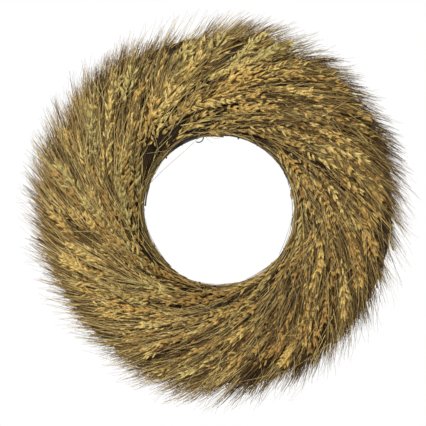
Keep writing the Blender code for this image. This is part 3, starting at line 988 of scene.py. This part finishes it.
def addLooseStraws(guides, row, start, rng):
    # bare stems and blades that show where the first bunch was tied in
    form, total = looseForm, looseForm["tries"]
    place = sown(rng, start, 0, row["looseFoot"], total, -0.3, 1)
    place = place[looseness(place) > rng.uniform(0.3, 1, total)]
    total = len(place)
    if total == 0:
        return
    strands = growStrands(place, *aimed(rng, form, total), *bent(rng, form, np.zeros(total), total))
    nearest = np.hypot(strands[:, :, 0], strands[:, :, 2]).min(1)
    strands = strands[nearest > holeRadius + form["clearOfHole"]]
    total = len(strands)
    if total == 0:
        return
    blade = rng.uniform(0, 1, total) < form["bladeShare"]
    thick = tapered(rng, form, total, form["steps"][0])
    tone = rng.uniform(0.0, 1.0, total)
    wide = np.interp(np.linspace(0, 1, form["steps"][0]), [0, 0.3, 0.7, 1], form["bladeOutline"])[None, :]
    for kind, chosen, width in ((stemKind, ~blade, 1), (leafKind, blade, form["bladeWidth"] * wide)):
        if chosen.any():
            guides.add(kind, strands[chosen], thick[chosen] * width, tone[chosen])


def addBackStraws(guides, row, start, rng):
    # the cut stems that lie along the frame behind, under the tie wire
    form, total = backForm, backForm["perBunch"]
    place = sown(rng, start, -10, row["backFoot"], total)
    offset = turned(rng, *form["turn"], total)
    sink = rng.uniform(*form["sink"], total)
    strands = growWithin(form["reach"], place, offset, rng.uniform(*form["length"], total), *form["steps"],
                         turned(rng, 0, form["curl"], total), np.ones(total), sink, sink)
    addDrawn(guides, stemKind, strands, form, rng)


def makeBed(guides, rowName, index, rng):
    # the imported straw inside the row, which shows only in the gaps, coloured with painted shade: darkest along
    # the front, a lighter brown behind
    form = bedForm
    low, high = rows[rowName]["bed"]
    alongFront, alongBack = form["across"]
    underFront, underBack = form["under"]
    inset = form["rimShort"] if rowName == "outer" else 0.0
    section = [(r, float(frontAt(r)) + underFront) for r in np.linspace(low, high, alongFront)]
    section += [(r, float(backAt(r)) - underBack) for r in np.linspace(high - inset, low, alongBack)]
    if rowName == "outer":
        section[alongFront - 1] = (high, float(frontAt(high)) + form["rimUnder"])
    bandLow, bandHigh = bands["bed"]
    steps, around = form["steps"], len(section)
    points, bedMap = [], []
    for step in range(steps):
        share = step / (steps - 1)
        for spot, (radius, depth) in enumerate(section):
            up = np.clip((0.020 - depth) / 0.045, 0, 1)
            angle = (index + share) * sector + math.radians(form["lean"]) * up
            if 0 < step < steps - 1:
                radius = radius + rng.normal(0, form["uneven"])
                depth = depth + rng.normal(0, form["uneven"])
            points.append((radius * math.sin(angle), depth, radius * math.cos(angle)))
            # the map runs from the bed's darkest front, painted shade for the gaps, round to its lighter brown back
            bedMap.append((share, bandLow + (bandHigh - bandLow) * spot / around, 0.0))
    faces = []
    for step in range(steps - 1):
        for spot in range(around):
            a, c = step * around + spot, step * around + (spot + 1) % around
            faces.append((a, a + around, c + around, c))
    faces.append(tuple(range(around)))
    faces.append(tuple((steps - 1) * around + i for i in reversed(range(around))))
    guides.addBed(np.array(points), faces, np.array(bedMap))


def makeBunch(rowName, index):
    row = rows[rowName]
    rng = np.random.default_rng([wreathForm["seed"], list(rows).index(rowName), index])
    guides = GuideSet()
    start = index * sector + math.radians(6)
    ears = placeEars(guides, rowName, start, rng)
    addBeards(guides, row, ears, rng)
    addUnderBeards(guides, row, start, rng)
    if rowName == "inner":
        wrapHoleEdge(guides, start, rng)
        addOddStrands(guides, index)
    addStems(guides, row, ears, start, rng)
    addStrays(guides, row, start, rng)
    if rowName == "outer":
        addWisps(guides, start, rng)
    else:
        addLooseStraws(guides, row, start, rng)
    addBackStraws(guides, row, start, rng)
    makeBed(guides, rowName, index, rng)
    name = f"wheat_bunch_{rowName}_{index + 1:02d}"
    mesh = guides.makeMesh(name + "_guides")
    piece = dressBunch(name, mesh, rowName, int(rng.integers(1, 9999)))
    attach(piece, "wreath")
    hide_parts(f"wheat_{rowName}_{index + 1:02d}")
    return piece


faceTotal = 0
for rowName in rows:
    for index in range(sectorCount):
        piece = makeBunch(rowName, index)
        faceTotal += sum(len(p.vertices) - 2 for p in piece.data.polygons)
    print(f"{rowName} row made, {faceTotal} triangles so far")
for made in (spikeletWide, spikeletSlim):
    bpy.data.objects.remove(made)

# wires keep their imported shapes
wireOf = {"frame_ring": "frame", "frame_crossbar": "frame", "binding_wire": "tie", "hanging_hook": "hook"}
for name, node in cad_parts.items():
    for start, key in wireOf.items():
        if not name.startswith(start):
            continue
        for slot in node.material_slots:
            slot.material = wireMaterials[key]
        if not node.material_slots:
            node.data.materials.append(wireMaterials[key])
print("wires finished")

studio = {
    "floorDrop": 0.30,
    "floorSize": 3.6,
    "floorPaint": ((0.3, (0.91, 0.91, 0.90)), (0.7, (0.94, 0.94, 0.93))),
    # each light's place, width and power
    "keyLight": ((-0.75, -1.95, 1.0), 0.40, 51),
    "fillLight": ((1.2, -1.6, 0.3), 1.0, 2),
    "topLight": ((0.1, -0.5, 1.9), 1.2, 6),
    "sideLight": ((2.3, 0.1, 0.5), 1.2, 15),
    "backLight": ((-0.5, 2.0, 0.6), 1.2, 34),
    "backdrop": 1.0,       # the backdrop is white,
    "roomLight": 0.07,     # and the room lights the wreath more softly than it looks
    "cameraDistance": 2.2,
    "cameraShift": (-0.0088, -0.0036),
    "viewWidth": 0.6092,
    "sensor": 36,
}


def makeFloor():
    half = studio["floorSize"] / 2
    height = cadBox[0][2] - studio["floorDrop"]
    corners = [(x * half, y * half, height) for x, y in ((-1, -1), (1, -1), (1, 1), (-1, 1))]
    mesh = bpy.data.meshes.new("paleFloor")
    mesh.from_pydata(corners, [], [(0, 1, 2, 3)])
    floor = putObject("paleFloor", mesh)
    material, tree, shader = startMaterial("paleFloorPaint")
    grain = noiseNode(tree, addNode(tree, "ShaderNodeTexCoord", output="Object"), 6.0, 2.0)
    feed(tree, shader, {"Base Color": rampNode(tree, grain, studio["floorPaint"]), "Roughness": 0.8})
    mesh.materials.append(material)


def addSoftLight(name, place, width, power):
    data = bpy.data.lights.new(name, "AREA")
    data.shape = "DISK"
    data.size = width
    data.energy = power
    made = putObject(name, data)
    made.location = place
    made.rotation_euler = (-made.location).to_track_quat("-Z", "Y").to_euler()


def makeRoom():
    world = bpy.data.worlds.new("paleStudio")
    world.use_nodes = True
    sky = world.node_tree
    given, seen = [addNode(sky, "ShaderNodeBackground", {"Color": (1, 1, 1, 1), "Strength": studio[key]})
                   for key in ("roomLight", "backdrop")]
    toCamera = addNode(sky, "ShaderNodeLightPath", output="Is Camera Ray")
    both = addNode(sky, "ShaderNodeMixShader", {0: toCamera, 1: given, 2: seen})
    feed(sky, sky.nodes["World Output"], {"Surface": both})
    scene.world = world
    scene.view_settings.view_transform = "Standard"


def makeCamera():
    data = bpy.data.cameras.new("frontCamera")
    data.sensor_width = studio["sensor"]
    data.lens = studio["sensor"] * studio["cameraDistance"] / studio["viewWidth"]
    data.clip_end = 20
    camera = putObject("frontCamera", data)
    right, up = studio["cameraShift"]
    camera.location = (right, -studio["cameraDistance"], up)
    camera.rotation_euler = (math.pi / 2, 0, 0)
    scene.camera = camera


makeFloor()
for name in ("keyLight", "fillLight", "topLight", "sideLight", "backLight"):
    addSoftLight(name, *studio[name])
makeRoom()
makeCamera()
print("studio set")
